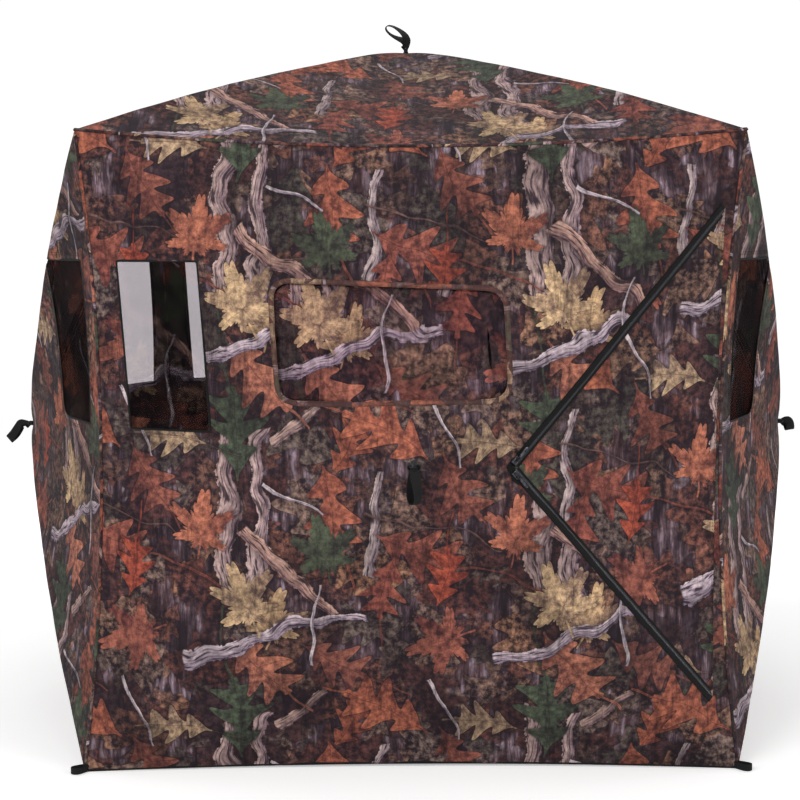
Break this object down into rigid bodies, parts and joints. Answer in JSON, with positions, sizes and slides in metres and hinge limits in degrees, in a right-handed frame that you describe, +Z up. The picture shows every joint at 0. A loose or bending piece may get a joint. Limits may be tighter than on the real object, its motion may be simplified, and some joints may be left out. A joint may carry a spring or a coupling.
{
  "type": "pop up ground blind",
  "caption": "Square hub-style fabric hunting blind with bulging walls and roof, spring hubs and poles, mesh windows and a zipped V door flap.",
  "frame": {"origin": "on the ground under the roof hub, in the middle of the square base", "axes": "+Z up; -Y is the front wall with the door and the wide window; +X is to the right of a person facing that wall from outside"},
  "size_m": [2.0664, 1.987, 1.7339],
  "materials": {
    "camo_fabric": "coated polyester oxford cloth printed in a brown and rust leaf and branch pattern",
    "window_mesh": "fine dark see-through mesh",
    "binding": "folded camo binding tape",
    "black_webbing": "black woven webbing and tape",
    "fibreglass": "black pultruded fibreglass rod",
    "black_plastic": "moulded black nylon",
    "zip_metal": "black enamelled zinc"
  },
  "bodies": {
    "root": {"corner_seam_front_left": "black_webbing", "corner_seam_front_right": "black_webbing", "corner_seam_rear_left": "black_webbing", "corner_seam_rear_right": "black_webbing", "front_left_window_mesh": "window_mesh", "front_wall": "camo_fabric", "ground_hem": "black_webbing", "left_front_window_mesh": "window_mesh", "left_rear_window_mesh": "window_mesh", "left_wall": "camo_fabric", "rear_left_window_mesh": "window_mesh", "rear_right_window_mesh": "window_mesh", "rear_wall": "camo_fabric", "right_front_window_mesh": "window_mesh", "right_rear_window_mesh": "window_mesh", "right_wall": "camo_fabric", "roof_panel": "camo_fabric", "roof_seam": "black_webbing"},
    "front_hub": {"front_hub": "black_plastic", "front_hub_patch": "camo_fabric"},
    "left_hub": {"left_hub": "black_plastic", "left_hub_patch": "camo_fabric"},
    "rear_hub": {"rear_hub": "black_plastic", "rear_hub_patch": "camo_fabric"},
    "right_hub": {"right_hub": "black_plastic", "right_hub_patch": "camo_fabric"},
    "roof_hub": {"roof_hub": "black_plastic", "roof_hub_patch": "camo_fabric"},
    "front_pole_top_left": {"front_pole_top_left": "fibreglass"},
    "front_pole_top_right": {"front_pole_top_right": "fibreglass"},
    "front_pole_bottom_left": {"front_pole_bottom_left": "fibreglass"},
    "front_pole_bottom_right": {"front_pole_bottom_right": "fibreglass"},
    "left_pole_top_left": {"left_pole_top_left": "fibreglass"},
    "left_pole_top_right": {"left_pole_top_right": "fibreglass"},
    "left_pole_bottom_left": {"left_pole_bottom_left": "fibreglass"},
    "left_pole_bottom_right": {"left_pole_bottom_right": "fibreglass"},
    "rear_pole_top_left": {"rear_pole_top_left": "fibreglass"},
    "rear_pole_top_right": {"rear_pole_top_right": "fibreglass"},
    "rear_pole_bottom_left": {"rear_pole_bottom_left": "fibreglass"},
    "rear_pole_bottom_right": {"rear_pole_bottom_right": "fibreglass"},
    "right_pole_top_left": {"right_pole_top_left": "fibreglass"},
    "right_pole_top_right": {"right_pole_top_right": "fibreglass"},
    "right_pole_bottom_left": {"right_pole_bottom_left": "fibreglass"},
    "right_pole_bottom_right": {"right_pole_bottom_right": "fibreglass"},
    "roof_pole_rear_left": {"roof_pole_rear_left": "fibreglass"},
    "roof_pole_rear_right": {"roof_pole_rear_right": "fibreglass"},
    "roof_pole_front_left": {"roof_pole_front_left": "fibreglass"},
    "roof_pole_front_right": {"roof_pole_front_right": "fibreglass"},
    "front_pull_tab": {"front_pull_tab": "black_webbing"},
    "left_pull_tab": {"left_pull_tab": "black_webbing"},
    "rear_pull_tab": {"rear_pull_tab": "black_webbing"},
    "right_pull_tab": {"right_pull_tab": "black_webbing"},
    "roof_pull_tab": {"roof_pull_tab": "black_webbing"},
    "door_surround": {"door_zip_tape": "black_webbing"},
    "door": {"door_panel": "camo_fabric"},
    "upper_zip_slider": {"upper_zip_slider": "zip_metal"},
    "lower_zip_slider": {"lower_zip_slider": "zip_metal"},
    "front_window": {"front_window_binding": "binding", "front_window_mesh": "window_mesh"},
    "front_window_cover": {"front_window_cover": "camo_fabric"}
  },
  "joints": [
    {"name": "front_hub_pop", "type": "slide", "parent": "root", "child": "front_hub", "axis": [0, 1, 0], "range_m": [0, 0.466], "deforming": ["front_hub_patch"]},
    {"name": "left_hub_pop", "type": "slide", "parent": "root", "child": "left_hub", "axis": [1, 0, 0], "range_m": [0, 0.466], "deforming": ["left_hub_patch"]},
    {"name": "rear_hub_pop", "type": "slide", "parent": "root", "child": "rear_hub", "axis": [0, -1, 0], "range_m": [0, 0.466], "deforming": ["rear_hub_patch"]},
    {"name": "right_hub_pop", "type": "slide", "parent": "root", "child": "right_hub", "axis": [-1, 0, 0], "range_m": [0, 0.466], "deforming": ["right_hub_patch"]},
    {"name": "roof_hub_pop", "type": "slide", "parent": "root", "child": "roof_hub", "axis": [0, 0, -1], "range_m": [0, 0.466], "deforming": ["roof_hub_patch"]},
    {"name": "front_pole_top_left_fold", "type": "hinge", "parent": "front_hub", "child": "front_pole_top_left", "pos_m": [-0.01935, -0.9475, 0.73533], "axis": [0.6973, 0, 0.7168], "range_deg": [0, 25.82]},
    {"name": "front_pole_top_right_fold", "type": "hinge", "parent": "front_hub", "child": "front_pole_top_right", "pos_m": [0.01935, -0.9475, 0.73533], "axis": [0.6973, 0, -0.7168], "range_deg": [0, 25.82]},
    {"name": "front_pole_bottom_left_fold", "type": "hinge", "parent": "front_hub", "child": "front_pole_bottom_left", "pos_m": [-0.01935, -0.9475, 0.69767], "axis": [-0.6973, 0, 0.7168], "range_deg": [0, 25.82]},
    {"name": "front_pole_bottom_right_fold", "type": "hinge", "parent": "front_hub", "child": "front_pole_bottom_right", "pos_m": [0.01935, -0.9475, 0.69767], "axis": [-0.6973, 0, -0.7168], "range_deg": [0, 25.82]},
    {"name": "left_pole_top_left_fold", "type": "hinge", "parent": "left_hub", "child": "left_pole_top_left", "pos_m": [-0.9475, 0.01935, 0.73533], "axis": [0, -0.6973, 0.7168], "range_deg": [0, 25.82]},
    {"name": "left_pole_top_right_fold", "type": "hinge", "parent": "left_hub", "child": "left_pole_top_right", "pos_m": [-0.9475, -0.01935, 0.73533], "axis": [0, -0.6973, -0.7168], "range_deg": [0, 25.82]},
    {"name": "left_pole_bottom_left_fold", "type": "hinge", "parent": "left_hub", "child": "left_pole_bottom_left", "pos_m": [-0.9475, 0.01935, 0.69767], "axis": [0, 0.6973, 0.7168], "range_deg": [0, 25.82]},
    {"name": "left_pole_bottom_right_fold", "type": "hinge", "parent": "left_hub", "child": "left_pole_bottom_right", "pos_m": [-0.9475, -0.01935, 0.69767], "axis": [0, 0.6973, -0.7168], "range_deg": [0, 25.82]},
    {"name": "rear_pole_top_left_fold", "type": "hinge", "parent": "rear_hub", "child": "rear_pole_top_left", "pos_m": [0.01935, 0.9475, 0.73533], "axis": [-0.6973, 0, 0.7168], "range_deg": [0, 25.82]},
    {"name": "rear_pole_top_right_fold", "type": "hinge", "parent": "rear_hub", "child": "rear_pole_top_right", "pos_m": [-0.01935, 0.9475, 0.73533], "axis": [-0.6973, 0, -0.7168], "range_deg": [0, 25.82]},
    {"name": "rear_pole_bottom_left_fold", "type": "hinge", "parent": "rear_hub", "child": "rear_pole_bottom_left", "pos_m": [0.01935, 0.9475, 0.69767], "axis": [0.6973, 0, 0.7168], "range_deg": [0, 25.82]},
    {"name": "rear_pole_bottom_right_fold", "type": "hinge", "parent": "rear_hub", "child": "rear_pole_bottom_right", "pos_m": [-0.01935, 0.9475, 0.69767], "axis": [0.6973, 0, -0.7168], "range_deg": [0, 25.82]},
    {"name": "right_pole_top_left_fold", "type": "hinge", "parent": "right_hub", "child": "right_pole_top_left", "pos_m": [0.9475, -0.01935, 0.73533], "axis": [0, 0.6973, 0.7168], "range_deg": [0, 25.82]},
    {"name": "right_pole_top_right_fold", "type": "hinge", "parent": "right_hub", "child": "right_pole_top_right", "pos_m": [0.9475, 0.01935, 0.73533], "axis": [0, 0.6973, -0.7168], "range_deg": [0, 25.82]},
    {"name": "right_pole_bottom_left_fold", "type": "hinge", "parent": "right_hub", "child": "right_pole_bottom_left", "pos_m": [0.9475, -0.01935, 0.69767], "axis": [0, -0.6973, 0.7168], "range_deg": [0, 25.82]},
    {"name": "right_pole_bottom_right_fold", "type": "hinge", "parent": "right_hub", "child": "right_pole_bottom_right", "pos_m": [0.9475, 0.01935, 0.69767], "axis": [0, -0.6973, -0.7168], "range_deg": [0, 25.82]},
    {"name": "roof_pole_rear_left_fold", "type": "hinge", "parent": "roof_hub", "child": "roof_pole_rear_left", "pos_m": [-0.01909, 0.01909, 1.644], "axis": [0.7071, 0.7071, 0], "range_deg": [0, 25.49]},
    {"name": "roof_pole_rear_right_fold", "type": "hinge", "parent": "roof_hub", "child": "roof_pole_rear_right", "pos_m": [0.01909, 0.01909, 1.644], "axis": [0.7071, -0.7071, 0], "range_deg": [0, 25.49]},
    {"name": "roof_pole_front_left_fold", "type": "hinge", "parent": "roof_hub", "child": "roof_pole_front_left", "pos_m": [-0.01909, -0.01909, 1.644], "axis": [-0.7071, 0.7071, 0], "range_deg": [0, 25.49]},
    {"name": "roof_pole_front_right_fold", "type": "hinge", "parent": "roof_hub", "child": "roof_pole_front_right", "pos_m": [0.01909, -0.01909, 1.644], "axis": [-0.7071, -0.7071, 0], "range_deg": [0, 25.49]},
    {"name": "front_pull_tab_swing", "type": "hinge", "parent": "front_hub", "child": "front_pull_tab", "pos_m": [0, -0.9798, 0.7165], "axis": [-1, 0, 0], "range_deg": [-8, 150]},
    {"name": "left_pull_tab_swing", "type": "hinge", "parent": "left_hub", "child": "left_pull_tab", "pos_m": [-0.9798, 0, 0.7165], "axis": [0, 1, 0], "range_deg": [-43, 115]},
    {"name": "rear_pull_tab_swing", "type": "hinge", "parent": "rear_hub", "child": "rear_pull_tab", "pos_m": [0, 0.9798, 0.7165], "axis": [1, 0, 0], "range_deg": [-8, 150]},
    {"name": "right_pull_tab_swing", "type": "hinge", "parent": "right_hub", "child": "right_pull_tab", "pos_m": [0.9798, 0, 0.7165], "axis": [0, -1, 0], "range_deg": [-43, 115]},
    {"name": "roof_pull_tab_swing", "type": "hinge", "parent": "roof_hub", "child": "roof_pull_tab", "pos_m": [0, 0, 1.6763], "axis": [0, 1, 0], "range_deg": [-45, 110]},
    {"name": "door_surround_fold", "type": "hinge", "parent": "root", "child": "door_surround", "pos_m": [0.69, -0.73643, 0.7145], "axis": [-0.0144, -0.0086, -0.9999], "range_deg": [0, 38.42]},
    {"name": "door_swing", "type": "hinge", "parent": "door_surround", "child": "door", "pos_m": [0.67749, -0.74082, 0.69894], "axis": [0.0144, 0.0086, 0.9999], "range_deg": [0, 120]},
    {"name": "upper_zip_slide", "type": "slide", "parent": "door_surround", "child": "upper_zip_slider", "axis": [0.6355, 0.2229, 0.7392], "range_m": [0, 0.683]},
    {"name": "lower_zip_slide", "type": "slide", "parent": "door_surround", "child": "lower_zip_slider", "axis": [0.634, 0.2169, -0.7423], "range_m": [0, 0.661]},
    {"name": "front_window_fold", "type": "hinge", "parent": "root", "child": "front_window", "pos_m": [0, -0.7365, 1.433], "axis": [1, 0, 0], "range_deg": [0, 36.08]},
    {"name": "front_window_drop", "type": "slide", "parent": "front_window", "child": "front_window_cover", "axis": [0, -0.3707, -0.9287], "range_m": [0, 0.22], "deforming": ["front_window_cover"]}
  ],
  "couplings": [
    {"joint": "front_pole_top_left_fold", "follows": "front_hub_pop", "rad_per_m": 0.95974},
    {"joint": "front_pole_top_right_fold", "follows": "front_hub_pop", "rad_per_m": 0.95974},
    {"joint": "front_pole_bottom_left_fold", "follows": "front_hub_pop", "rad_per_m": 0.95974},
    {"joint": "front_pole_bottom_right_fold", "follows": "front_hub_pop", "rad_per_m": 0.95974},
    {"joint": "left_pole_top_left_fold", "follows": "left_hub_pop", "rad_per_m": 0.95974},
    {"joint": "left_pole_top_right_fold", "follows": "left_hub_pop", "rad_per_m": 0.95974},
    {"joint": "left_pole_bottom_left_fold", "follows": "left_hub_pop", "rad_per_m": 0.95974},
    {"joint": "left_pole_bottom_right_fold", "follows": "left_hub_pop", "rad_per_m": 0.95974},
    {"joint": "rear_pole_top_left_fold", "follows": "rear_hub_pop", "rad_per_m": 0.95974},
    {"joint": "rear_pole_top_right_fold", "follows": "rear_hub_pop", "rad_per_m": 0.95974},
    {"joint": "rear_pole_bottom_left_fold", "follows": "rear_hub_pop", "rad_per_m": 0.95974},
    {"joint": "rear_pole_bottom_right_fold", "follows": "rear_hub_pop", "rad_per_m": 0.95974},
    {"joint": "right_pole_top_left_fold", "follows": "right_hub_pop", "rad_per_m": 0.95974},
    {"joint": "right_pole_top_right_fold", "follows": "right_hub_pop", "rad_per_m": 0.95974},
    {"joint": "right_pole_bottom_left_fold", "follows": "right_hub_pop", "rad_per_m": 0.95974},
    {"joint": "right_pole_bottom_right_fold", "follows": "right_hub_pop", "rad_per_m": 0.95974},
    {"joint": "roof_pole_rear_left_fold", "follows": "roof_hub_pop", "rad_per_m": 0.94716},
    {"joint": "roof_pole_rear_right_fold", "follows": "roof_hub_pop", "rad_per_m": 0.94716},
    {"joint": "roof_pole_front_left_fold", "follows": "roof_hub_pop", "rad_per_m": 0.94716},
    {"joint": "roof_pole_front_right_fold", "follows": "roof_hub_pop", "rad_per_m": 0.94716},
    {"joint": "door_surround_fold", "follows": "front_hub_pop", "rad_per_m": 1.4316},
    {"joint": "front_window_fold", "follows": "front_hub_pop", "rad_per_m": 1.3439}
  ]
}
